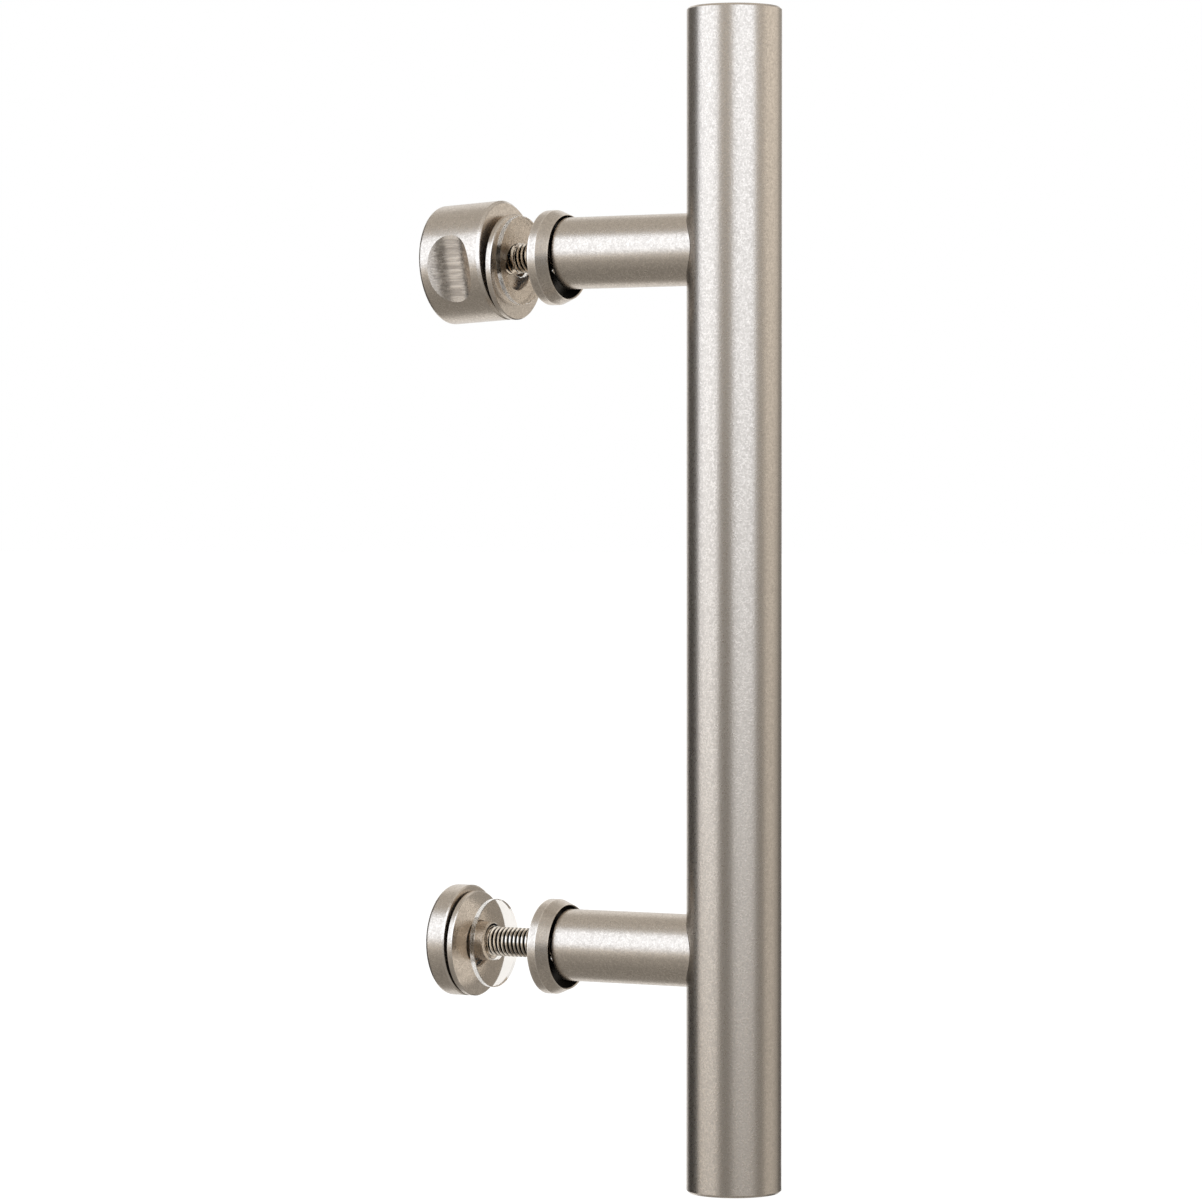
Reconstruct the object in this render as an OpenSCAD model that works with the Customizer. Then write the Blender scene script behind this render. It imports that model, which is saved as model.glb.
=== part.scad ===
// Barn door pull: a round bar on two coped posts, with loose collars, gaskets and washers
// on the door studs, a thick knob behind the upper hole and a thin cap behind the lower one.
// The bar stands along Z. The door plane is Y = 0, with the bar in front of it at -Y.

/* [Bar] */
// Length of the round bar
bar_len = 316; // [250:1:600]
// Outer diameter of the bar
bar_d = 25.4; // [24:0.1:34]
// Wall of the bar, which is a tube
bar_wall = 2; // [1.2:0.1:2.5]
// Chamfer round the tube's two ends
bar_chamfer = 0.6; // [0.2:0.1:1]
// Distance from the door face of the collars to the bar's axis
reach = 57.8; // [48:0.1:90]
// Thickness of the plugs that close the tube
plug_t = 2; // [1:0.1:4]
// Wall of the plug's skirt
plug_wall = 1.2; // [0.8:0.1:2]
// Length of the plug's skirt behind its disc
plug_skirt = 7; // [3:0.5:12]
// How far the plug sits below the tube's end
plug_inset = 0.4; // [0:0.1:2]

/* [Posts] */
// Distance between the axes of the two posts
post_spacing = 188; // [150:1:225]
// Diameter of a post
post_d = 19.5; // [16:0.1:23.4]
// Chamfer round the door end of a post
post_chamfer = 0.4; // [0.2:0.1:1]
// How far a post's end stands in the recess of its loose collar
post_entry = 0.1; // [0:0.1:2]

/* [Collars] */
// Thickness of a collar
collar_t = 6.9; // [5.5:0.1:9]
// Width of the flat rim round the recess
collar_rim = 0.45; // [0.4:0.05:2]
// How much the taper narrows the collar towards the rim
taper_drop = 1.35; // [0.5:0.05:2]
// Length of the taper
taper_len = 3.2; // [1:0.1:3.4]
// How much the door side's bevel narrows the collar
bevel_drop = 2; // [0.3:0.1:3]
// Length of the bevel
bevel_len = 1.3; // [0.5:0.1:2]
// Depth of the recess that takes the post's end
recess_depth = 3.5; // [2:0.1:4.5]
// Bevel round the mouth of the recess
recess_bevel = 0.3; // [0.1:0.05:0.4]

/* [Studs] */
// Thread diameter of the door studs
stud_d = 8; // [6:1:10]
// Length of stud held in the post
stud_in_post = 10; // [8:0.5:16]
// Length of stud held in the cap's barrel
stud_in_barrel = 7.5; // [5:0.5:9]
// Chamfer on a stud's ends
stud_chamfer = 1; // [0.5:0.1:1.5]
// How far the upper stud leans down in its loose thread, in degrees
upper_lean = 3; // [0:0.5:4]

/* [Gaskets] */
// Outer diameter of a clear gasket
gasket_d = 24.2; // [20:0.1:28]
// Thickness of a gasket
gasket_t = 1.5; // [0.8:0.1:2]
// Bevel round a gasket's edges
gasket_bevel = 0.15; // [0.05:0.05:0.3]
// Gap between the upper gasket and its washer
upper_gasket_gap = 0.5; // [0.1:0.1:2]

/* [Washers] */
// Outer diameter of a backing washer
washer_d = 28.8; // [26:0.1:32]
// Thickness of a washer
washer_t = 1.6; // [1:0.1:2]
// Bevel round a washer's edges
washer_bevel = 0.25; // [0.1:0.05:0.4]
// Gap between the upper washer and the nearest edge of the knob
upper_washer_gap = 0.2; // [0.1:0.1:1.5]
// Gap between the lower washer and the cap
lower_washer_gap = 0.6; // [0.1:0.1:3]

/* [Back knob] */
// Diameter of the knob
knob_d = 32.6; // [28:0.1:42]
// Length of the knob
knob_len = 19.2; // [16:0.1:30]
// Distance from the door face to the knob, as it is screwed on
knob_off = 12.1; // [12:0.1:17]
// Rounding of the knob's outer edge
knob_round = 1.2; // [0.5:0.1:3]
// Bevel of the knob's edge towards the door
knob_bevel = 0.8; // [0.3:0.1:2]
// Width of the thumb scoop along the knob
scoop_w = 13.3; // [8:0.1:15]
// Depth of the scoop at its middle
scoop_depth = 2.85; // [1:0.05:3.5]
// How far the scoop is turned down from level
scoop_turn = 9.5; // [-180:1:180]

/* [Back cap] */
// Diameter of the cap
cap_d = 30.4; // [26:0.1:38]
// Thickness of the cap's disc
cap_t = 6; // [4:0.1:10]
// Rounding of the cap's outer edge
cap_round = 1.4; // [0.5:0.1:2]
// Bevel of the cap's edge towards the door
cap_bevel = 0.4; // [0.2:0.1:1]
// Diameter of the threaded barrel
barrel_d = 10.7; // [10:0.1:14]
// Length of the barrel
barrel_len = 6.5; // [5:0.1:14]
// Distance from the door face to the barrel's end
barrel_off = 17.4; // [14:0.1:20]
// Chamfer round the barrel's end
barrel_chamfer = 0.5; // [0.2:0.1:1]

/* [Post screws] */
// Diameter of the screw inside the bar
screw_d = 6; // [4:0.5:6]
// Length of the screw under its head
screw_len = 16; // [14:0.5:20]
// Diameter of the screw's head
screw_head_d = 10.5; // [8:0.5:12]
// Height of the screw's head
screw_head_h = 3.3; // [2:0.1:4]
// Key size of the screw's socket
screw_key = 4; // [2.5:0.5:5]
// Diameter of the curved washer under the head
saddle_d = 12; // [11:0.5:13]
// Thickness of the curved washer at its middle
saddle_t = 2.9; // [2.8:0.1:4]

/* [Clearances] */
// Play of a post's end in the collar's recess, on the radius
recess_gap = 1.35; // [0.3:0.05:1.5]
// Play of a collar on its stud, on the radius
collar_gap = 0.7; // [0.3:0.05:1]
// Play of a gasket on its stud, on the radius
gasket_gap = 0.6; // [0.3:0.05:1]
// Play of a washer on the barrel, on the radius
washer_gap = 0.9; // [0.3:0.05:1.5]
// Play of a screw in a drilled hole, on the radius
hole_gap = 0.3; // [0.1:0.05:0.5]
// Play between two threads, on the radius
thread_gap = 0.05; // [0.02:0.01:0.1]
// Play of a seated or pressed piece
seat_gap = 0.05; // [0.02:0.01:0.1]
// How near a hanging ring comes to what it hangs on
hang_gap = 0.1; // [0.05:0.05:0.2]
// Room past the end of a screw or stud in its thread
thread_spare = 1.5; // [0.5:0.5:3]

/* [Hidden] */
$fn = 96;

bar_r = bar_d / 2;
bore_r = bar_r - bar_wall;
post_r = post_d / 2;
stud_r = stud_d / 2;
post_z = post_spacing / 2;
post_end = collar_t - post_entry;
recess_r = post_r + recess_gap;
rim_r = recess_r + collar_rim;
collar_r = rim_r + taper_drop;
collar_bore_r = stud_r + collar_gap;
gasket_bore_r = stud_r + gasket_gap;
barrel_r = barrel_d / 2;
washer_bore_r = barrel_r + washer_gap;
cap_off = barrel_off + barrel_len;
stud_end = barrel_off + stud_in_barrel;
saddle_face = bore_r - saddle_t;
scoop_r = (pow(scoop_w / 2, 2) + pow(scoop_depth, 2)) / (2 * scoop_depth);

// The upper stud leans about the middle of the length that its post holds.
pivot_y = -post_end - stud_in_post / 2;
lean_play = stud_in_post / 2 * tan(upper_lean);
knob_low_edge = pivot_y + (knob_off - pivot_y) * cos(upper_lean) - knob_d / 2 * sin(upper_lean);

// Along the door's depth, the lower rings lie round the barrel and the upper ones in front of the knob.
collar_floor = recess_depth - collar_t;
upper_washer_off = knob_low_edge - upper_washer_gap - washer_t;
upper_gasket_off = upper_washer_off - upper_gasket_gap - gasket_t;
lower_washer_off = cap_off - lower_washer_gap - washer_t;
lower_gasket_off = barrel_off - gasket_t;

// Each loose ring drops by its play, and stops just short of what carries it.
collar_z = hang_gap - collar_gap;
gasket_z = hang_gap - gasket_gap;
upper_washer_z = hang_gap - (washer_bore_r - stud_r);
lower_washer_z = hang_gap - washer_gap;

// How far the top of the upper stud lies below its level place, at a distance y behind the door's face.
function droop(y) = (y - pivot_y) * tan(upper_lean) - stud_r * (1 / cos(upper_lean) - 1);

nickel = [0.62, 0.59, 0.55];
bright = [0.80, 0.80, 0.79];
clear = [0.90, 0.92, 0.92, 0.4];
dark_steel = [0.35, 0.35, 0.36];

// Lays a shape that stands along Z towards the back of the door, at a height z.
module to_back(z = 0) {
  translate([0, 0, z]) rotate([-90, 0, 0]) children();
}

// Turns what is on the upper stud down with it.
module lean() {
  translate([0, pivot_y, 0]) rotate([-upper_lean, 0, 0]) translate([0, -pivot_y, 0]) children();
}

// A ring with a bevel on all its edges, from height 0 to h.
module ring(r, bore, h, bevel) {
  rotate_extrude() polygon([
    [bore + bevel, 0], [r - bevel, 0], [r, bevel], [r, h - bevel], [r - bevel, h],
    [bore + bevel, h], [bore, h - bevel], [bore, bevel]
  ]);
}

// A round disc with a bevelled front edge and a rounded back edge.
module round_disc(r, h, bevel, round) {
  rotate_extrude() intersection() {
    union() {
      polygon([[0, 0], [r - bevel, 0], [r, bevel], [r, h - round], [0, h - round]]);
      translate([0, h - round]) square([r - round, round]);
      translate([r - round, h - round]) circle(round);
    }
    square([r, h]);
  }
}

module bar_tube() {
  c = bar_chamfer;
  half = bar_len / 2;
  color(nickel) translate([0, -reach, 0]) difference() {
    rotate_extrude() polygon([
      [bore_r, -half], [bar_r - c, -half], [bar_r, c - half],
      [bar_r, half - c], [bar_r - c, half], [bore_r, half]
    ]);
    for (z = [-post_z, post_z])
      to_back(z) cylinder(r = screw_d / 2 + hole_gap, h = bar_r);
  }
}

// A pressed cup whose disc closes the tube, with its skirt inside.
module plug() {
  r = bore_r - seat_gap;
  top = bar_len / 2 - plug_inset;
  color(nickel) translate([0, -reach, 0]) rotate_extrude() polygon([
    [0, top - plug_t], [r - plug_wall, top - plug_t], [r - plug_wall, top - plug_t - plug_skirt],
    [r, top - plug_t - plug_skirt], [r, top - plug_wall / 2], [r - plug_wall / 2, top], [0, top]
  ]);
}

// A round post whose front end is coped to the bar, with a tapped hole in each end.
// The play is what the stud's thread has in its hole, on the radius.
module post(play) {
  c = post_chamfer;
  length = reach - post_end;
  saddle = reach - bar_r;
  color(nickel) difference() {
    to_back() rotate_extrude() polygon([
      [0, -length - post_end], [post_r, -length - post_end], [post_r, -post_end - c],
      [post_r - c, -post_end], [0, -post_end]
    ]);
    translate([0, -reach, 0]) cylinder(r = bar_r + seat_gap, h = 2 * bar_d, center = true);
    translate([0, -post_end, 0]) rotate([90, 0, 0]) translate([0, 0, -1])
      cylinder(r = stud_r + play, h = 1 + stud_in_post + thread_spare);
    translate([0, -saddle, 0]) rotate([-90, 0, 0]) translate([0, 0, -1])
      cylinder(r = screw_d / 2 + thread_gap, h = 1 + screw_len - saddle_t - bar_wall + thread_spare);
  }
}

// A button-head screw whose head lies on the curved washer inside the bar.
module post_screw() {
  color(dark_steel) translate([0, saddle_face - reach, 0]) rotate([-90, 0, 0]) difference() {
    union() {
      cylinder(r = screw_d / 2, h = screw_len);
      rotate([180, 0, 0]) rotate_extrude() polygon([
        [0, 0], [screw_head_d / 2, 0], [screw_head_d / 2, screw_head_h * 0.4],
        [screw_head_d / 2 - screw_head_h * 0.45, screw_head_h], [0, screw_head_h]
      ]);
    }
    translate([0, 0, -screw_head_h - 1])
      cylinder(r = screw_key / 2 / cos(30), h = 1 + screw_head_h * 0.6, $fn = 6);
  }
}

// The washer's back follows the tube's bore, and its front is flat for the screw's head.
module saddle_washer() {
  color(bright) translate([0, -reach, 0]) difference() {
    intersection() {
      translate([0, saddle_face, 0]) rotate([-90, 0, 0]) cylinder(r = saddle_d / 2, h = bore_r);
      cylinder(r = bore_r - seat_gap, h = 2 * saddle_d, center = true);
    }
    rotate([-90, 0, 0]) cylinder(r = screw_d / 2 + hole_gap, h = bar_r);
  }
}

// A shallow cup: flat and bevelled at the door, tapered to a thin rim round the recess.
module collar(z) {
  color(nickel) to_back(z) rotate_extrude() polygon([
    [collar_bore_r, 0], [collar_r - bevel_drop, 0], [collar_r, -bevel_len],
    [collar_r, taper_len - collar_t], [rim_r, -collar_t], [recess_r + recess_bevel, -collar_t],
    [recess_r, recess_bevel - collar_t], [recess_r, collar_floor], [collar_bore_r, collar_floor]
  ]);
}

module stud() {
  c = stud_chamfer;
  front = -post_end - stud_in_post;
  color(bright) to_back() rotate_extrude() polygon([
    [0, front], [stud_r - c, front], [stud_r, front + c],
    [stud_r, stud_end - c], [stud_r - c, stud_end], [0, stud_end]
  ]);
}

module gasket(offset_y, z) {
  color(clear) translate([0, offset_y, 0]) to_back(z)
    ring(gasket_d / 2, gasket_bore_r, gasket_t, gasket_bevel);
}

module washer(offset_y, z) {
  color(nickel) translate([0, offset_y, 0]) to_back(z)
    ring(washer_d / 2, washer_bore_r, washer_t, washer_bevel);
}

// A thick round knob, tapped for the stud, with a thumb scoop cut across its side.
module back_knob() {
  color(nickel) translate([0, knob_off, 0]) difference() {
    to_back() round_disc(knob_d / 2, knob_len, knob_bevel, knob_round);
    to_back() translate([0, 0, -1])
      cylinder(r = stud_r + thread_gap, h = 1 + stud_end + thread_spare - knob_off);
    rotate([0, -scoop_turn, 0]) translate([scoop_depth - scoop_r - knob_d / 2, knob_len / 2, 0])
      cylinder(r = scoop_r, h = knob_d, center = true);
  }
}

// A thin round cap with a barrel that passes through its washer and takes the stud.
module back_cap() {
  color(nickel) translate([0, barrel_off, 0]) difference() {
    union() {
      translate([0, barrel_len, 0]) to_back() round_disc(cap_d / 2, cap_t, cap_bevel, cap_round);
      to_back() rotate_extrude() polygon([
        [0, 0], [barrel_r - barrel_chamfer, 0], [barrel_r, barrel_chamfer],
        [barrel_r, barrel_len + 1], [0, barrel_len + 1]
      ]);
    }
    to_back() translate([0, 0, -1])
      cylinder(r = stud_r + thread_gap, h = 1 + stud_in_barrel + thread_spare);
  }
}

bar_tube();
plug();  // upper_plug
mirror([0, 0, 1]) plug();  // lower_plug
translate([0, 0, post_z]) post(thread_gap + lean_play);  // upper_post
translate([0, 0, -post_z]) post(thread_gap);  // lower_post
translate([0, 0, post_z]) post_screw();  // upper_post_screw
translate([0, 0, -post_z]) post_screw();  // lower_post_screw
translate([0, 0, post_z]) saddle_washer();  // upper_saddle_washer
translate([0, 0, -post_z]) saddle_washer();  // lower_saddle_washer
translate([0, 0, post_z]) collar(collar_z - droop(collar_floor));  // upper_collar
translate([0, 0, -post_z]) collar(collar_z);  // lower_collar
translate([0, 0, post_z]) lean() stud();  // upper_stud
translate([0, 0, -post_z]) stud();  // lower_stud
translate([0, 0, post_z]) gasket(upper_gasket_off, gasket_z - droop(upper_gasket_off));  // upper_gasket
translate([0, 0, -post_z]) gasket(lower_gasket_off, gasket_z);  // lower_gasket
translate([0, 0, post_z]) washer(upper_washer_off, upper_washer_z - droop(upper_washer_off));  // upper_washer
translate([0, 0, -post_z]) washer(lower_washer_off, lower_washer_z);  // lower_washer
translate([0, 0, post_z]) lean() back_knob();
translate([0, 0, -post_z]) back_cap();
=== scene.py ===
import math
import bpy
from mathutils import Matrix, Vector


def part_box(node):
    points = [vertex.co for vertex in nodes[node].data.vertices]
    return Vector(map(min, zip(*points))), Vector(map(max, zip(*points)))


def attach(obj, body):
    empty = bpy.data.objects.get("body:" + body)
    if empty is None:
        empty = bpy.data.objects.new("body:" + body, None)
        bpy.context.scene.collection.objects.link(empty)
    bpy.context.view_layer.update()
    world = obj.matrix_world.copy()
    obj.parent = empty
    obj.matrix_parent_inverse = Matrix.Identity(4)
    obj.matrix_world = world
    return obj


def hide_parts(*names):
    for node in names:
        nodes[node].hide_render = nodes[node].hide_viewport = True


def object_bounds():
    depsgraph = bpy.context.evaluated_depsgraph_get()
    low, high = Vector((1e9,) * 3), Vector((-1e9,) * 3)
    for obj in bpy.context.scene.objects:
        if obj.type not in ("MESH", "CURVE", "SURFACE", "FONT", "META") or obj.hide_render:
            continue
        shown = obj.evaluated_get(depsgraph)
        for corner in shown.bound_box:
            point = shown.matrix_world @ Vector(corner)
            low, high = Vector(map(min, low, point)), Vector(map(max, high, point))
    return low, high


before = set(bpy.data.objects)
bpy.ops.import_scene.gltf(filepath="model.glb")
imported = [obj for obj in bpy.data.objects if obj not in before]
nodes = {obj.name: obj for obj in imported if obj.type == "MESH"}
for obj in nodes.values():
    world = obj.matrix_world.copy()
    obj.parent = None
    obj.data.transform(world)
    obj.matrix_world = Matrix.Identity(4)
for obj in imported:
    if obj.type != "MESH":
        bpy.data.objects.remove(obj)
cadBox = [list(corner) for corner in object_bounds()]
mm = 0.001
print("packed model loaded,", len(nodes), "parts")

# Where the main turned pieces lie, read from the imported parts.
barAxisY = sum(corner[1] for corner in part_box("bar_tube")) / 2
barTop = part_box("bar_tube")[1][2]
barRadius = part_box("bar_tube")[1][0]
postZ = (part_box("upper_post")[0][2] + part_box("upper_post")[1][2]) / 2
upperLean = math.radians(3)  # the upper stud and the knob on it droop in a loose thread
floorZ = cadBox[0][2] - 0.3 * mm

# ---- small helpers for node trees


def addNode(tree, kind, **settings):
    node = tree.nodes.new(kind)
    for key, value in settings.items():
        setattr(node, key, value)
    return node


# A socket is linked, and anything else becomes its plain value.
def plug(tree, socket, value):
    if isinstance(value, bpy.types.NodeSocket):
        tree.links.new(value, socket)
    elif value is not None:
        socket.default_value = value


def maths(tree, operation, first, second=None, third=None, clamp=False):
    node = addNode(tree, "ShaderNodeMath", operation=operation, use_clamp=clamp)
    for socket, value in zip(node.inputs, (first, second, third)):
        plug(tree, socket, value)
    return node.outputs[0]


# Smooth step of a value from low..high to outLow..outHigh.
def ramp(tree, value, low, high, outLow=0.0, outHigh=1.0):
    node = addNode(tree, "ShaderNodeMapRange", interpolation_type="SMOOTHSTEP")
    for socket, number in zip(node.inputs, (value, low, high, outLow, outHigh)):
        plug(tree, socket, number)
    return node.outputs[0]


def mixColour(tree, share, first, second, blend="MIX"):
    node = addNode(tree, "ShaderNodeMix", data_type="RGBA", blend_type=blend)
    plug(tree, node.inputs[0], share)
    plug(tree, node.inputs[6], first)
    plug(tree, node.inputs[7], second)
    return node.outputs[2]


def newGroup(name, inputs, outputs):
    group = bpy.data.node_groups.new(name, "ShaderNodeTree")
    for label, kind, value in inputs:
        socket = group.interface.new_socket(label, in_out="INPUT", socket_type=kind)
        if value is not None:
            socket.default_value = value
    for label, kind in outputs:
        group.interface.new_socket(label, in_out="OUTPUT", socket_type=kind)
    return group, addNode(group, "NodeGroupInput"), addNode(group, "NodeGroupOutput")


def useGroup(tree, group, **values):
    node = addNode(tree, "ShaderNodeGroup", node_tree=group)
    for label, value in values.items():
        plug(tree, node.inputs[label.replace("_", " ")], value)
    return node


def newMaterial(name):
    material = bpy.data.materials.new(name)
    material.use_nodes = True
    tree = material.node_tree
    tree.nodes.clear()
    output = addNode(tree, "ShaderNodeOutputMaterial")
    return material, tree, output


# ---- effects that several finishes share


# Fine speckle of a satin plating, with soft blotches under it.
def makeGrainGroup():
    group, inside, outside = newGroup("satinGrain", [
        ("Grain Scale", "NodeSocketFloat", 2000.0),
        ("Blotch Scale", "NodeSocketFloat", 900.0),
        ("Along X", "NodeSocketFloat", 1.0),
        ("Along Y", "NodeSocketFloat", 1.0),
        ("Along Z", "NodeSocketFloat", 1.0),
    ], [("Speckle", "NodeSocketFloat"), ("Blotch", "NodeSocketFloat"), ("Height", "NodeSocketFloat")])
    place = addNode(group, "ShaderNodeTexCoord").outputs["Object"]
    stretch = addNode(group, "ShaderNodeCombineXYZ")
    for axis in "XYZ":
        group.links.new(inside.outputs["Along " + axis], stretch.inputs[axis])
    scaled = addNode(group, "ShaderNodeVectorMath", operation="MULTIPLY")
    group.links.new(place, scaled.inputs[0])
    group.links.new(stretch.outputs[0], scaled.inputs[1])
    fine = addNode(group, "ShaderNodeTexNoise")
    fine.inputs["Detail"].default_value = 2.0
    fine.inputs["Roughness"].default_value = 0.6
    group.links.new(scaled.outputs[0], fine.inputs["Vector"])
    group.links.new(inside.outputs["Grain Scale"], fine.inputs["Scale"])
    broad = addNode(group, "ShaderNodeTexNoise")
    broad.inputs["Detail"].default_value = 3.0
    group.links.new(place, broad.inputs["Vector"])
    group.links.new(inside.outputs["Blotch Scale"], broad.inputs["Scale"])
    speckle = ramp(group, fine.outputs["Fac"], 0.30, 0.70)
    blotch = ramp(group, broad.outputs["Fac"], 0.32, 0.68)
    group.links.new(speckle, outside.inputs["Speckle"])
    group.links.new(blotch, outside.inputs["Blotch"])
    group.links.new(maths(group, "MULTIPLY_ADD", blotch, 0.25, speckle), outside.inputs["Height"])
    return group


# Rubbed wear and painted sheen in a narrow band round one edge of a turned piece: the metal there is lighter, partly
# from real wear and partly as a painted highlight along the edge.
def makeRimWearAndSheenGroup():
    group, inside, outside = newGroup("rimWearAndSheen", [
        ("Centre", "NodeSocketVector", None),
        ("Upright", "NodeSocketFloat", 0.0),
        ("Lean", "NodeSocketFloat", 0.0),
        ("Radius", "NodeSocketFloat", 0.01),
        ("Place", "NodeSocketFloat", 0.0),
        ("Width", "NodeSocketFloat", 0.0005),
    ], [("WearAndSheen", "NodeSocketFloat")])
    place = addNode(group, "ShaderNodeTexCoord").outputs["Object"]
    offset = addNode(group, "ShaderNodeVectorMath", operation="SUBTRACT")
    group.links.new(place, offset.inputs[0])
    group.links.new(inside.outputs["Centre"], offset.inputs[1])
    level = addNode(group, "ShaderNodeVectorRotate", rotation_type="X_AXIS")
    group.links.new(offset.outputs[0], level.inputs["Vector"])
    group.links.new(inside.outputs["Lean"], level.inputs["Angle"])
    parts = addNode(group, "ShaderNodeSeparateXYZ")
    group.links.new(level.outputs[0], parts.inputs[0])
    upright = inside.outputs["Upright"]

    def either(whenLying, whenUpright):
        node = addNode(group, "ShaderNodeMix", data_type="FLOAT")
        plug(group, node.inputs[0], upright)
        plug(group, node.inputs[2], whenLying)
        plug(group, node.inputs[3], whenUpright)
        return node.outputs[0]

    along = either(parts.outputs["Y"], parts.outputs["Z"])
    across = either(parts.outputs["Z"], parts.outputs["Y"])
    sideways = maths(group, "MULTIPLY", parts.outputs["X"], parts.outputs["X"])
    reach = maths(group, "SQRT", maths(group, "MULTIPLY_ADD", across, across, sideways))
    outwards = maths(group, "SUBTRACT", reach, inside.outputs["Radius"])
    lengthways = maths(group, "SUBTRACT", along, inside.outputs["Place"])
    square = maths(group, "MULTIPLY", outwards, outwards)
    distance = maths(group, "SQRT", maths(group, "MULTIPLY_ADD", lengthways, lengthways, square))
    wearAndSheenNoise = addNode(group, "ShaderNodeTexNoise")
    wearAndSheenNoise.inputs["Scale"].default_value = 700.0
    group.links.new(place, wearAndSheenNoise.inputs["Vector"])
    uneven = ramp(group, wearAndSheenNoise.outputs["Fac"], 0.25, 0.6, 0.35, 1.0)
    near = maths(group, "DIVIDE", distance, inside.outputs["Width"])
    band = ramp(group, near, 1.0, 0.0)
    group.links.new(maths(group, "MULTIPLY", band, uneven), outside.inputs["WearAndSheen"])
    return group


grainGroup = makeGrainGroup()
rimWearAndSheenGroup = makeRimWearAndSheenGroup()
print("shared effects ready")

# ---- satin nickel, one material for each piece so that its rims carry wear and painted sheen where they are

satinNickel = {
    "deep": (0.520, 0.456, 0.386, 1),
    "pale": (0.700, 0.616, 0.522, 1),
    # rubbed wear and painted sheen: lighter colour for the rims
    "rubbedSheen": (0.78, 0.70, 0.61, 1),
    # painted shade: near-black colour for the inside of a recess
    "paintedRecessShade": (0.03, 0.026, 0.022, 1),
    "brushedDeep": (0.42, 0.365, 0.31, 1),
    "brushedPale": (0.74, 0.65, 0.55, 1),
    "roughness": 0.30,
    "spread": 0.08,
    "bump": 0.30,
    "bumpDepth": 0.02 * mm,
}


# Distance from a lying axis, and the place along it.
def reachAndPlace(tree, centre, lean=0.0):
    offset = addNode(tree, "ShaderNodeVectorMath", operation="SUBTRACT")
    plug(tree, offset.inputs[0], addNode(tree, "ShaderNodeTexCoord").outputs["Object"])
    plug(tree, offset.inputs[1], centre)
    level = addNode(tree, "ShaderNodeVectorRotate", rotation_type="X_AXIS")
    plug(tree, level.inputs["Vector"], offset.outputs[0])
    plug(tree, level.inputs["Angle"], lean)
    flat = addNode(tree, "ShaderNodeVectorMath", operation="MULTIPLY")
    plug(tree, flat.inputs[0], level.outputs[0])
    plug(tree, flat.inputs[1], (1, 0, 1))
    reach = addNode(tree, "ShaderNodeVectorMath", operation="LENGTH")
    plug(tree, reach.inputs[0], flat.outputs[0])
    parts = addNode(tree, "ShaderNodeSeparateXYZ")
    plug(tree, parts.inputs[0], level.outputs[0])
    return reach.outputs["Value"], parts.outputs["Y"]


# 1 on the wall and floor of a recess that opens towards -Y, 0 outside it; this is the mask of the painted shade
# inside the recess.
def insideRecess(tree, centre, radius, floor):
    reach, along = reachAndPlace(tree, centre)
    within = ramp(tree, reach, radius, radius + 0.1 * mm, 1.0, 0.0)
    return maths(tree, "MULTIPLY", within, ramp(tree, along, floor + 0.1 * mm, floor + 0.3 * mm, 1.0, 0.0))


# 1 in a scoop cut into the side of a lying cylinder, 0 on its skin and its ends.
def cutInto(tree, centre, lean, radius, halfLength):
    reach, along = reachAndPlace(tree, centre, lean)
    sunk = ramp(tree, reach, radius - 0.1 * mm, radius, 1.0, 0.0)
    between = ramp(tree, maths(tree, "ABSOLUTE", along), halfLength - 0.2 * mm, halfLength, 1.0, 0.0)
    return maths(tree, "MULTIPLY", sunk, between)


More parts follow.
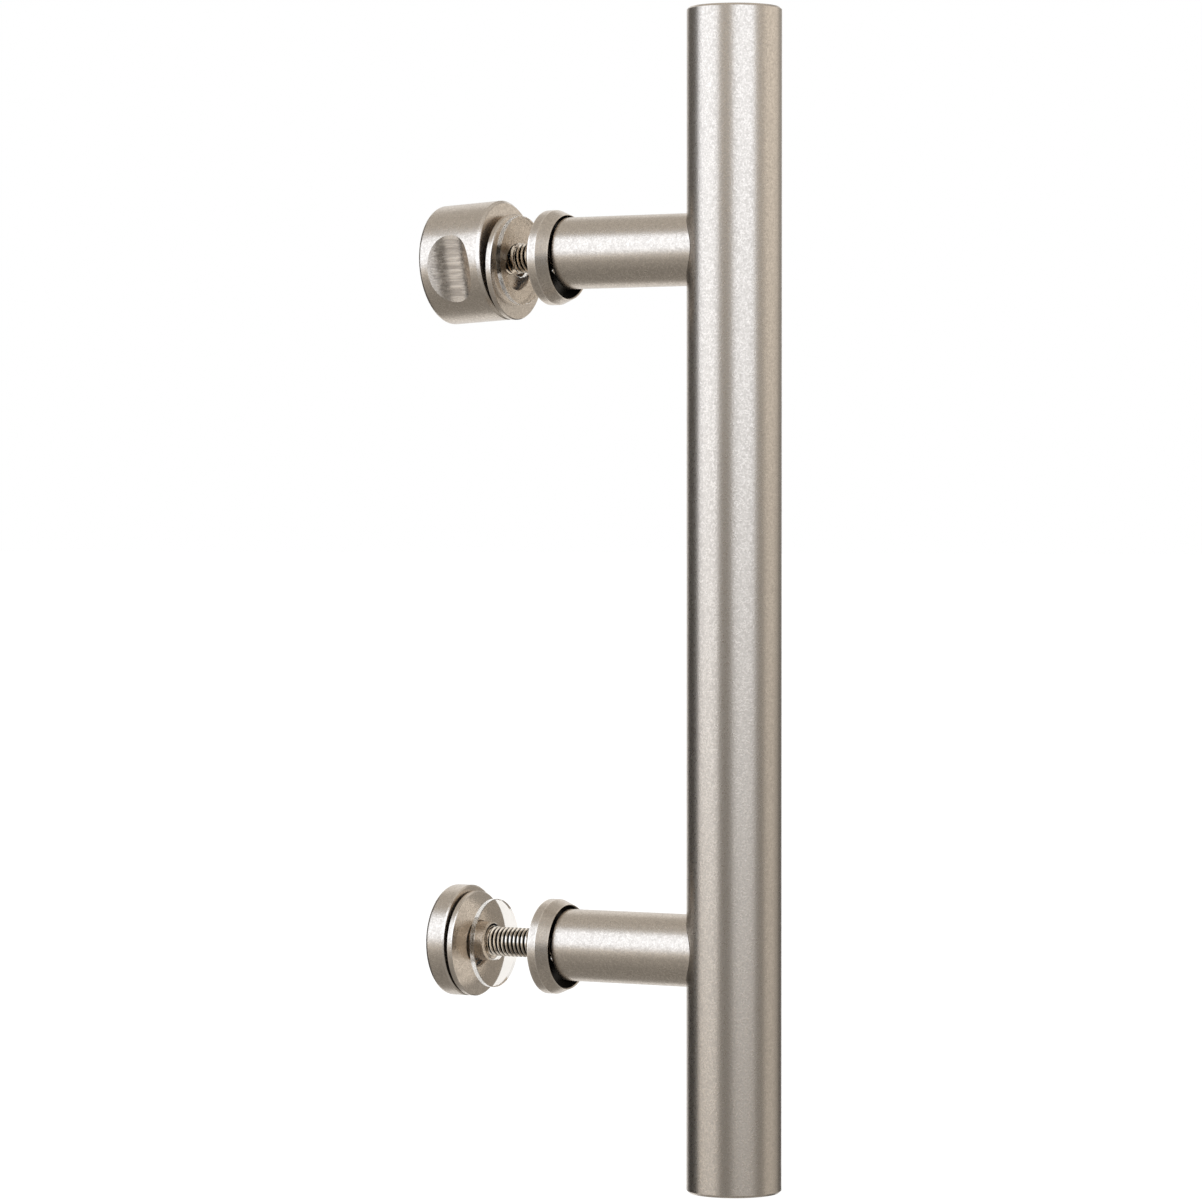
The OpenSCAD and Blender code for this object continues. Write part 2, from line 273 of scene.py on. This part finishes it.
def makeSatin(name, centre=(0, 0, 0), upright=False, rims=(), roughness=None, lean=0.0, recessForPaintedShade=None,
              scoop=None, skin=None):
    look = satinNickel
    material, tree, output = newMaterial(name)
    grain = useGroup(tree, grainGroup)
    speckle, blotch, height = grain.outputs
    tone = maths(tree, "MULTIPLY_ADD", speckle, 0.7, maths(tree, "MULTIPLY", blotch, 0.3))
    colour = mixColour(tree, tone, look["deep"], look["pale"])
    base = look["roughness"] if roughness is None else roughness
    rough = ramp(tree, tone, 0.0, 1.0, base + look["spread"] / 2, base - look["spread"] / 2)
    wearAndSheen = None
    for radius, place, width in rims:  # each lighter where it is rubbed and where a painted highlight runs along it
        ring = useGroup(tree, rimWearAndSheenGroup, Centre=centre, Upright=float(upright), Lean=lean,
                        Radius=radius, Place=place, Width=width).outputs["WearAndSheen"]
        wearAndSheen = ring if wearAndSheen is None else maths(tree, "MAXIMUM", wearAndSheen, ring)
    if wearAndSheen is not None:
        # painted sheen: the rims are lighter, partly from real wear and partly as a painted highlight along the edge
        colour = mixColour(tree, wearAndSheen, colour, look["rubbedSheen"])
        rough = maths(tree, "MULTIPLY_ADD", wearAndSheen, -0.08, rough)
    if scoop is not None:
        inScoop = cutInto(tree, centre, lean, skin - 0.5 * mm, scoop)
        lines = useGroup(tree, grainGroup, Grain_Scale=1500.0, Along_Y=0.045).outputs["Speckle"]
        colour = mixColour(tree, inScoop, colour, mixColour(tree, lines, look["brushedDeep"], look["brushedPale"]))
        height = maths(tree, "MULTIPLY_ADD", inScoop, maths(tree, "SUBTRACT", lines, height), height)
    if recessForPaintedShade is not None:
        # painted shade: the inside of the collar's recess is coloured near-black where it lies in deep shade
        colour = mixColour(tree, insideRecess(tree, centre, *recessForPaintedShade), colour, look["paintedRecessShade"])
    bump = addNode(tree, "ShaderNodeBump")
    bump.inputs["Strength"].default_value = look["bump"]
    bump.inputs["Distance"].default_value = look["bumpDepth"]
    plug(tree, bump.inputs["Height"], height)
    metal = addNode(tree, "ShaderNodeBsdfPrincipled")
    metal.inputs["Metallic"].default_value = 1.0
    plug(tree, metal.inputs["Base Color"], colour)
    plug(tree, metal.inputs["Roughness"], rough)
    plug(tree, metal.inputs["Normal"], bump.outputs[0])
    tree.links.new(metal.outputs[0], output.inputs["Surface"])
    return material


def dress(node, material):
    for slot in nodes[node].material_slots:
        slot.material = material


# Bar, plugs and posts
barRim = {"inset": 0.3 * mm, "width": 0.7 * mm}
barMetal = makeSatin("satinBar", (0, barAxisY, 0), True,
                     [(barRadius - barRim["inset"], end, barRim["width"]) for end in (barTop, -barTop)])
plugMetal = makeSatin("satinPlug", roughness=0.34)
postMetal = makeSatin("satinPost")
dress("bar_tube", barMetal)
for end in ("upper", "lower"):
    dress(end + "_plug", plugMetal)
    dress(end + "_post", postMetal)

# Middle of a turned piece that lies along Y, and its rims measured in mm from its front face.
def lyingRims(node, edges, lean=0.0):
    low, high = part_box(node)
    centre = (0, (low[1] + high[1]) / 2, (low[2] + high[2]) / 2)
    radius = high[0]
    length = (high[1] - low[1] - 2 * radius * math.sin(lean)) / math.cos(lean)
    return centre, [(radius - inset * mm, along * mm - length / 2, width * mm) for inset, along, width in edges]


# Collars, washers, knob and cap. Edges are (inset from the outside, place along the piece, width) in mm.
turnedPieces = {
    # the collar's recess gets painted shade inside
    "collar": {"nodes": ("upper_collar", "lower_collar"), "recessForPaintedShade": (11.15 * mm, 0.05 * mm),
               "edges": ((1.35, 0.0, 0.5), (0.0, 3.2, 0.35), (0.0, 5.6, 0.5), (2.0, 6.9, 0.4))},
    "washer": {"nodes": ("upper_washer", "lower_washer"),
               "edges": ((0.12, 0.12, 0.35), (0.12, 1.48, 0.35))},
    "knob": {"nodes": ("back_knob",), "lean": upperLean,
             "scoop": 8.9 * mm, "edges": ((0.4, 0.4, 0.6), (0.4, 18.8, 0.7))},
    "cap": {"nodes": ("back_cap",), "fromBack": True,
            "edges": ((0.3, -0.3, 0.8), (0.1, -5.8, 0.5))},
}
for kind, piece in turnedPieces.items():
    for node in piece["nodes"]:
        lean = piece.get("lean", 0.0)
        edges = piece["edges"]
        if piece.get("fromBack"):  # the cap's box starts with its barrel
            low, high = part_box(node)
            edges = [(inset, along + (high[1] - low[1]) / mm, width) for inset, along, width in edges]
        centre, rims = lyingRims(node, edges, lean)
        dress(node, makeSatin("satin_" + node, centre, False, rims, lean=lean, recessForPaintedShade=piece.get("recessForPaintedShade"),
                              scoop=piece.get("scoop"), skin=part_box(node)[1][0]))

# ---- zinc, dark steel and clear plastic

# root is painted shade: near-black colour for the thread roots
zincPlate = {"deep": (0.82, 0.75, 0.66, 1), "pale": (0.97, 0.89, 0.79, 1), "root": (0.02, 0.018, 0.015, 1),
             "roughness": 0.10}


def makeZinc(name):
    material, tree, output = newMaterial(name)
    speckle, blotch, height = useGroup(tree, grainGroup, Grain_Scale=3400.0, Blotch_Scale=600.0).outputs
    colour = mixColour(tree, blotch, zincPlate["deep"], zincPlate["pale"])
    groove = addNode(tree, "ShaderNodeAttribute", attribute_name="groove").outputs["Fac"]
    # painted shade: the thread roots are coloured near-black where the grooves lie in shade
    colour = mixColour(tree, ramp(tree, groove, 0.10, 0.75), colour, zincPlate["root"])
    rough = ramp(tree, speckle, 0.0, 1.0, zincPlate["roughness"], zincPlate["roughness"] + 0.08)
    bump = addNode(tree, "ShaderNodeBump")
    bump.inputs["Strength"].default_value = 0.08
    bump.inputs["Distance"].default_value = 0.01 * mm
    plug(tree, bump.inputs["Height"], height)
    metal = addNode(tree, "ShaderNodeBsdfPrincipled")
    metal.inputs["Metallic"].default_value = 1.0
    plug(tree, metal.inputs["Base Color"], colour)
    plug(tree, metal.inputs["Roughness"], rough)
    plug(tree, metal.inputs["Normal"], bump.outputs[0])
    tree.links.new(metal.outputs[0], output.inputs["Surface"])
    return material


def makeDarkSteel(name):
    material, tree, output = newMaterial(name)
    speckle, blotch = useGroup(tree, grainGroup, Grain_Scale=1800.0, Blotch_Scale=300.0).outputs[:2]
    metal = addNode(tree, "ShaderNodeBsdfPrincipled")
    metal.inputs["Metallic"].default_value = 1.0
    plug(tree, metal.inputs["Base Color"], mixColour(tree, blotch, (0.10, 0.10, 0.11, 1), (0.19, 0.19, 0.20, 1)))
    plug(tree, metal.inputs["Roughness"], ramp(tree, speckle, 0.0, 1.0, 0.36, 0.5))
    tree.links.new(metal.outputs[0], output.inputs["Surface"])
    return material


def makeClear(name):
    material, tree, output = newMaterial(name)
    speckle, blotch = useGroup(tree, grainGroup, Grain_Scale=1500.0, Blotch_Scale=260.0).outputs[:2]
    plastic = addNode(tree, "ShaderNodeBsdfPrincipled")
    plastic.inputs["Transmission Weight"].default_value = 1.0
    plastic.inputs["IOR"].default_value = 1.12
    plug(tree, plastic.inputs["Base Color"], mixColour(tree, blotch, (0.83, 0.80, 0.76, 1), (0.89, 0.86, 0.82, 1)))
    plug(tree, plastic.inputs["Roughness"], ramp(tree, speckle, 0.0, 1.0, 0.05, 0.12))
    tree.links.new(plastic.outputs[0], output.inputs["Surface"])
    return material


zincMetal = makeZinc("brightZinc")
steelMetal = makeDarkSteel("screwSteel")
clearPlastic = makeClear("clearGasket")
for end in ("upper", "lower"):
    dress(end + "_post_screw", steelMetal)
    dress(end + "_saddle_washer", zincMetal)
    dress(end + "_gasket", clearPlastic)
    dress(end + "_stud", zincMetal)
print("finishes on the packed parts")

# ---- threaded studs, a helix of rows wound round the stud

thread = {
    "pitch": 1.25 * mm,
    "depth": 0.72 * mm,
    "chamfer": 1.0 * mm,
    "around": 56,
    "profile": ((0.0, 0.0), (0.125, 0.0), (0.46, 1.0), (0.665, 1.0)),  # share of the pitch, share of the depth
}


def makeThreadTree():
    tree = bpy.data.node_groups.new("woundThread", "GeometryNodeTree")
    for label, value in (("Front", 0.0), ("Back", 0.04), ("Radius", 4 * mm), ("Depth", thread["depth"]),
                         ("Pitch", thread["pitch"]), ("Chamfer", thread["chamfer"])):
        socket = tree.interface.new_socket(label, in_out="INPUT", socket_type="NodeSocketFloat")
        socket.default_value = value
    for label in ("Around", "Turns"):
        socket = tree.interface.new_socket(label, in_out="INPUT", socket_type="NodeSocketInt")
        socket.default_value = 48
    tree.interface.new_socket("Finish", in_out="INPUT", socket_type="NodeSocketMaterial")
    tree.interface.new_socket("Stud", in_out="OUTPUT", socket_type="NodeSocketGeometry")
    inside = addNode(tree, "NodeGroupInput").outputs
    outside = addNode(tree, "NodeGroupOutput")
    steps = len(thread["profile"])

    # A flat grid: its columns go round the stud, its rows follow the thread.
    rowCount = maths(tree, "MULTIPLY", inside["Turns"], float(steps))
    grid = addNode(tree, "GeometryNodeMeshGrid")
    plug(tree, grid.inputs["Size X"], 1.0)
    plug(tree, grid.inputs["Size Y"], 1.0)
    plug(tree, grid.inputs["Vertices X"], maths(tree, "ADD", inside["Around"], 1.0))
    plug(tree, grid.inputs["Vertices Y"], rowCount)
    index = addNode(tree, "GeometryNodeInputIndex").outputs[0]
    column = maths(tree, "FLOOR", maths(tree, "DIVIDE", maths(tree, "ADD", index, 0.5), rowCount))
    row = maths(tree, "SUBTRACT", index, maths(tree, "MULTIPLY", column, rowCount))
    turnShare = maths(tree, "DIVIDE", column, inside["Around"])
    wind = maths(tree, "FLOOR", maths(tree, "DIVIDE", maths(tree, "ADD", row, 0.5), float(steps)))
    step = maths(tree, "SUBTRACT", row, maths(tree, "MULTIPLY", wind, float(steps)))

    # Each row's place in its pitch and its depth, from the profile.
    share, sunk = 0.0, 0.0
    for number, (alongShare, depthShare) in enumerate(thread["profile"]):
        here = maths(tree, "COMPARE", step, float(number), 0.25)
        share = maths(tree, "MULTIPLY_ADD", here, alongShare, share)
        sunk = maths(tree, "MULTIPLY_ADD", here, depthShare, sunk)
    turns = maths(tree, "SUBTRACT", maths(tree, "ADD", maths(tree, "ADD", wind, share), turnShare), 1.5)
    along = maths(tree, "MULTIPLY_ADD", turns, inside["Pitch"], inside["Front"])
    along = maths(tree, "MINIMUM", maths(tree, "MAXIMUM", along, inside["Front"]), inside["Back"])
    fullRadius = maths(tree, "SUBTRACT", inside["Radius"], maths(tree, "MULTIPLY", sunk, inside["Depth"]))
    fromEnd = maths(tree, "MINIMUM", maths(tree, "SUBTRACT", along, inside["Front"]),
                    maths(tree, "SUBTRACT", inside["Back"], along))
    endRadius = maths(tree, "ADD", maths(tree, "SUBTRACT", inside["Radius"], inside["Chamfer"]), fromEnd)
    radius = maths(tree, "MINIMUM", fullRadius, endRadius)
    angle = maths(tree, "MULTIPLY", turnShare, -math.tau)
    place = addNode(tree, "ShaderNodeCombineXYZ")
    plug(tree, place.inputs["X"], maths(tree, "MULTIPLY", radius, maths(tree, "COSINE", angle)))
    plug(tree, place.inputs["Y"], along)
    plug(tree, place.inputs["Z"], maths(tree, "MULTIPLY", radius, maths(tree, "SINE", angle)))
    wound = addNode(tree, "GeometryNodeSetPosition")
    plug(tree, wound.inputs["Geometry"], grid.outputs["Mesh"])
    plug(tree, wound.inputs["Position"], place.outputs[0])

    # the depth into the thread, kept as groove for the painted shade in the thread roots
    kept = addNode(tree, "GeometryNodeStoreNamedAttribute", data_type="FLOAT", domain="POINT")
    plug(tree, kept.inputs["Geometry"], wound.outputs[0])
    kept.inputs["Name"].default_value = "groove"
    plug(tree, kept.inputs["Value"], sunk)

    # A flat disc closes each end.
    joined = addNode(tree, "GeometryNodeJoinGeometry")
    for label, turned in (("Front", math.pi / 2), ("Back", -math.pi / 2)):
        disc = addNode(tree, "GeometryNodeMeshCircle", fill_type="TRIANGLE_FAN")
        plug(tree, disc.inputs["Vertices"], inside["Around"])
        plug(tree, disc.inputs["Radius"], maths(tree, "SUBTRACT", inside["Radius"], inside["Chamfer"]))
        setPlace = addNode(tree, "GeometryNodeTransform")
        point = addNode(tree, "ShaderNodeCombineXYZ")
        plug(tree, point.inputs["Y"], inside[label])
        plug(tree, setPlace.inputs["Geometry"], disc.outputs["Mesh"])
        plug(tree, setPlace.inputs["Translation"], point.outputs[0])
        plug(tree, setPlace.inputs["Rotation"], (turned, 0.0, 0.0))
        tree.links.new(setPlace.outputs[0], joined.inputs[0])
    tree.links.new(kept.outputs[0], joined.inputs[0])
    merged = addNode(tree, "GeometryNodeMergeByDistance")
    plug(tree, merged.inputs["Geometry"], joined.outputs[0])
    plug(tree, merged.inputs["Distance"], 0.004 * mm)
    realized = addNode(tree, "GeometryNodeRealizeInstances")
    plug(tree, realized.inputs[0], merged.outputs[0])
    finish = addNode(tree, "GeometryNodeSetMaterial")
    plug(tree, finish.inputs["Geometry"], realized.outputs[0])
    plug(tree, finish.inputs["Material"], inside["Finish"])
    tree.links.new(finish.outputs[0], outside.inputs[0])
    return tree


threadTree = makeThreadTree()


# Runs a node tree with these inputs, and returns its result as a plain object.
def plainMesh(name, tree, values):
    holder = bpy.data.objects.new(name + "Holder", bpy.data.meshes.new(name + "Holder"))
    bpy.context.scene.collection.objects.link(holder)
    modifier = holder.modifiers.new("shape", "NODES")
    modifier.node_group = tree
    for item in tree.interface.items_tree:
        if item.in_out == "INPUT" and item.name in values:
            modifier[item.identifier] = values[item.name]
    bpy.context.view_layer.update()
    evaluated = holder.evaluated_get(bpy.context.evaluated_depsgraph_get())
    mesh = bpy.data.meshes.new_from_object(evaluated)
    holder.modifiers.remove(modifier)
    bpy.data.objects.remove(holder)
    mesh.name = name
    piece = bpy.data.objects.new(name, mesh)
    bpy.context.scene.collection.objects.link(piece)
    return piece


for end, lean in (("upper", upperLean), ("lower", 0.0)):
    low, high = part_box(end + "_stud")
    endRadius = high[0] - thread["chamfer"]
    length = (high[1] - low[1] - 2 * endRadius * math.sin(lean)) / math.cos(lean)
    turns = math.ceil(length / thread["pitch"]) + 3
    stud = plainMesh(end + "Stud", threadTree, {
        "Front": -length / 2, "Back": length / 2, "Radius": high[0], "Depth": thread["depth"],
        "Pitch": thread["pitch"], "Chamfer": thread["chamfer"], "Around": thread["around"], "Turns": turns,
        "Finish": zincMetal})
    middle = Vector((0, (low[1] + high[1]) / 2, (low[2] + high[2]) / 2))
    stud.data.transform(Matrix.Translation(middle) @ Matrix.Rotation(-lean, 4, "X"))
    stud.data.shade_smooth()
    stud.data.set_sharp_from_angle(angle=math.radians(24))
    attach(stud, "root")
    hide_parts(end + "_stud")
    print(stud.name, len(stud.data.polygons), "faces")

# ---- camera, placed as the photograph was taken

view = {"place": (-1.1365, -0.6585, 0.01896), "turn": 29.442, "tilt": 0.848, "lens": 144.29}
turn, tilt = math.radians(view["turn"]), math.radians(view["tilt"])
towards = Vector((math.cos(turn) * math.cos(tilt), math.sin(turn) * math.cos(tilt), -math.sin(tilt)))
lens = bpy.data.cameras.new("camera")
lens.sensor_width = 36
lens.lens = view["lens"]
lens.clip_start, lens.clip_end = 0.01, 50
camera = bpy.data.objects.new("camera", lens)
camera.location = view["place"]
camera.rotation_euler = towards.to_track_quat("-Z", "Y").to_euler()
bpy.context.scene.collection.objects.link(camera)
bpy.context.scene.camera = camera
backwards = Vector((-math.cos(turn), -math.sin(turn), 0))
rightwards = Vector((math.sin(turn), -math.cos(turn), 0))


# A point at this angle from the camera's side of the object, to the camera's right.
def around(azimuth, distance, height=0.0):
    a = math.radians(azimuth)
    return (backwards * math.cos(a) + rightwards * math.sin(a)) * distance + Vector((0, 0, height))


# ---- studio: two tall soft boxes, grey flags, a pale floor and a white background

softBoxes = {
    "leftBox": {"azimuth": -68, "distance": 1.4, "width": 1.55, "low": -0.15, "high": 1.6, "power": 18},
    "rightBox": {"azimuth": 23.5, "distance": 1.4, "width": 1.40, "low": -0.15, "high": 1.6, "power": 18},
}
for name, box in softBoxes.items():
    lamp = bpy.data.lights.new(name, "AREA")
    lamp.shape = "RECTANGLE"
    lamp.size = box["width"]
    lamp.size_y = box["high"] - box["low"]
    lamp.energy = box["power"]
    softBox = bpy.data.objects.new(name, lamp)
    softBox.location = around(box["azimuth"], box["distance"], (box["high"] + box["low"]) / 2)
    softBox.rotation_euler = around(box["azimuth"], -1).to_track_quat("-Z", "Y").to_euler()
    softBox.visible_camera = False
    softBox.visible_transmission = softBox.visible_glossy = False
    bpy.context.scene.collection.objects.link(softBox)


# 1 for what the camera, a mirror image or a look through clear plastic shows, 0 for soft light.
def seenDirectly(tree):
    path = addNode(tree, "ShaderNodeLightPath").outputs
    shown = maths(tree, "MAXIMUM", path["Is Camera Ray"], path["Is Glossy Ray"])
    return maths(tree, "MAXIMUM", shown, path["Is Transmission Ray"])


# What the metal mirrors, all round it: from and to are angles, levels are heights in m with their brightness.
panels = {
    "leftFlag": {"from": -152, "to": -97, "levels": ((-0.40, 0.05), (-0.03, 0.06), (0.36, 0.14))},
    "leftPanel": {"from": -97, "to": -39, "lit": True,
                  "levels": ((-1.2, 0.42), (-0.85, 0.45), (-0.6, 0.66), (-0.31, 0.83), (-0.17, 1.03),
                             (-0.03, 1.52), (0.12, 1.88))},
    "middleFlag": {"from": -39, "to": -4,
                   "levels": ((-0.41, 0.28), (-0.31, 0.24), (-0.17, 0.14), (-0.03, 0.15), (0.12, 0.29),
                              (0.28, 0.62), (0.36, 0.75))},
    "rightPanel": {"from": -4, "to": 50, "lit": True,
                   "levels": ((-1.2, 0.32), (-0.6, 0.42), (-0.31, 0.50), (-0.17, 0.66), (-0.03, 1.22), (0.12, 1.88))},
    "rightFlag": {"from": 50, "to": 76,
                  "levels": ((-0.41, 0.30), (-0.31, 0.18), (-0.17, 0.17), (-0.03, 0.27), (0.12, 0.44), (0.36, 0.72))},
    "rightWall": {"from": 76, "to": 112,
                  "levels": ((-0.40, 0.60), (-0.17, 0.62), (-0.03, 0.78), (0.12, 0.87), (0.36, 1.06))},
    "faceFlag": {"from": 112, "to": 130,  # what the front faces of the knob, cap and washers mirror
                 "levels": ((-0.41, 0.44), (-0.17, 0.38), (-0.03, 0.54), (0.12, 0.68), (0.36, 0.98))},
    "backFlag": {"from": 130, "to": 160, "levels": ((-0.17, 0.12), (0.36, 0.42))},
}
room = {"radius": 2.0, "low": -2.0, "high": 1.9, "facets": 12, "sides": 48, "ceiling": 0.60, "bottom": 0.34,
        "litTint": (0.90, 1.0, 1.165, 1), "greyTint": (1.0, 0.97, 0.93, 1)}


# A surface that only the metal's mirroring sees, with its brightness set by height.
def makePanel(name, corners, faces, lit, levels):
    mesh = bpy.data.meshes.new(name)
    mesh.from_pydata(corners, [], faces)
    material, tree, output = newMaterial(name)
    height = addNode(tree, "ShaderNodeSeparateXYZ")
    plug(tree, height.inputs[0], addNode(tree, "ShaderNodeTexCoord").outputs["Object"])
    share = ramp(tree, height.outputs["Z"], room["low"], room["high"])
    share.node.interpolation_type = "LINEAR"
    curve = addNode(tree, "ShaderNodeValToRGB")
    plug(tree, curve.inputs[0], share)
    stops = curve.color_ramp.elements
    brightest = max(level[1] for level in levels)
    while len(stops) < len(levels):
        stops.new(1.0)
    while len(stops) > len(levels):
        stops.remove(stops[-1])
    for stop, (z, brightness) in zip(stops, levels):
        stop.position = (z - room["low"]) / (room["high"] - room["low"])
        grey = brightness / brightest
        stop.color = (grey, grey, grey, 1)
    cool = ramp(tree, height.outputs["Z"], -0.35, 0.10) if lit else 0.0
    tint = mixColour(tree, cool, room["greyTint"], room["litTint"])
    glow = addNode(tree, "ShaderNodeEmission")
    plug(tree, glow.inputs["Color"], mixColour(tree, 1.0, curve.outputs[0], tint, "MULTIPLY"))
    glow.inputs["Strength"].default_value = brightest
    tree.links.new(glow.outputs[0], output.inputs["Surface"])
    mesh.materials.append(material)
    panel = bpy.data.objects.new(name, mesh)
    bpy.context.scene.collection.objects.link(panel)
    panel.visible_camera = panel.visible_diffuse = panel.visible_transmission = panel.visible_shadow = False


for name, panel in panels.items():
    count = room["facets"]
    angles = [panel["from"] + (panel["to"] - panel["from"]) * k / count for k in range(count + 1)]
    corners = [around(a, room["radius"], h) for h in (room["low"], room["high"]) for a in angles]
    faces = [(k, k + 1, k + count + 2, k + count + 1) for k in range(count)]
    makePanel(name, corners, faces, panel.get("lit"), panel["levels"])
for name, height in (("ceiling", room["high"]), ("bottom", room["low"])):
    corners = [around(360 * k / room["sides"], room["radius"], height) for k in range(room["sides"])]
    makePanel(name, corners, [tuple(range(room["sides"]))], False, ((height, room[name]),))

floorMesh = bpy.data.meshes.new("floor")
floorSize = 30
floorMesh.from_pydata([(x * floorSize, y * floorSize, floorZ) for x, y in ((-1, -1), (1, -1), (1, 1), (-1, 1))],
                      [], [(0, 1, 2, 3)])
floor = bpy.data.objects.new("floor", floorMesh)
bpy.context.scene.collection.objects.link(floor)
floorPaint, tree, output = newMaterial("paleFloor")
plain = addNode(tree, "ShaderNodeBsdfDiffuse")
plain.inputs["Color"].default_value = (0.8, 0.8, 0.8, 1)
soft = addNode(tree, "ShaderNodeBsdfDiffuse")
soft.inputs["Color"].default_value = (0.3, 0.3, 0.3, 1)
glow = addNode(tree, "ShaderNodeEmission")
away = addNode(tree, "ShaderNodeVectorMath", operation="LENGTH")
plug(tree, away.inputs[0], addNode(tree, "ShaderNodeTexCoord").outputs["Object"])
plug(tree, glow.inputs["Strength"], ramp(tree, away.outputs["Value"], 0.3, 1.6, 0.92, 1.0))
shown = addNode(tree, "ShaderNodeAddShader")
tree.links.new(soft.outputs[0], shown.inputs[0])
tree.links.new(glow.outputs[0], shown.inputs[1])
choice = addNode(tree, "ShaderNodeMixShader")
tree.links.new(seenDirectly(tree), choice.inputs[0])
tree.links.new(plain.outputs[0], choice.inputs[1])
tree.links.new(shown.outputs[0], choice.inputs[2])
tree.links.new(choice.outputs[0], output.inputs["Surface"])
floorMesh.materials.append(floorPaint)
floor.visible_glossy = False

world = bpy.data.worlds.new("studio")
bpy.context.scene.world = world
world.use_nodes = True
tree = world.node_tree
tree.nodes.clear()
output = addNode(tree, "ShaderNodeOutputWorld")
ambient = addNode(tree, "ShaderNodeBackground")
ambient.inputs["Strength"].default_value = 0.35
white = addNode(tree, "ShaderNodeBackground")
white.inputs["Color"].default_value = (1, 1, 1, 1)
choice = addNode(tree, "ShaderNodeMixShader")
tree.links.new(seenDirectly(tree), choice.inputs[0])
tree.links.new(ambient.outputs[0], choice.inputs[1])
tree.links.new(white.outputs[0], choice.inputs[2])
tree.links.new(choice.outputs[0], output.inputs["Surface"])

bpy.context.scene.view_settings.view_transform = "Standard"
print("camera, lamps and floor in place")
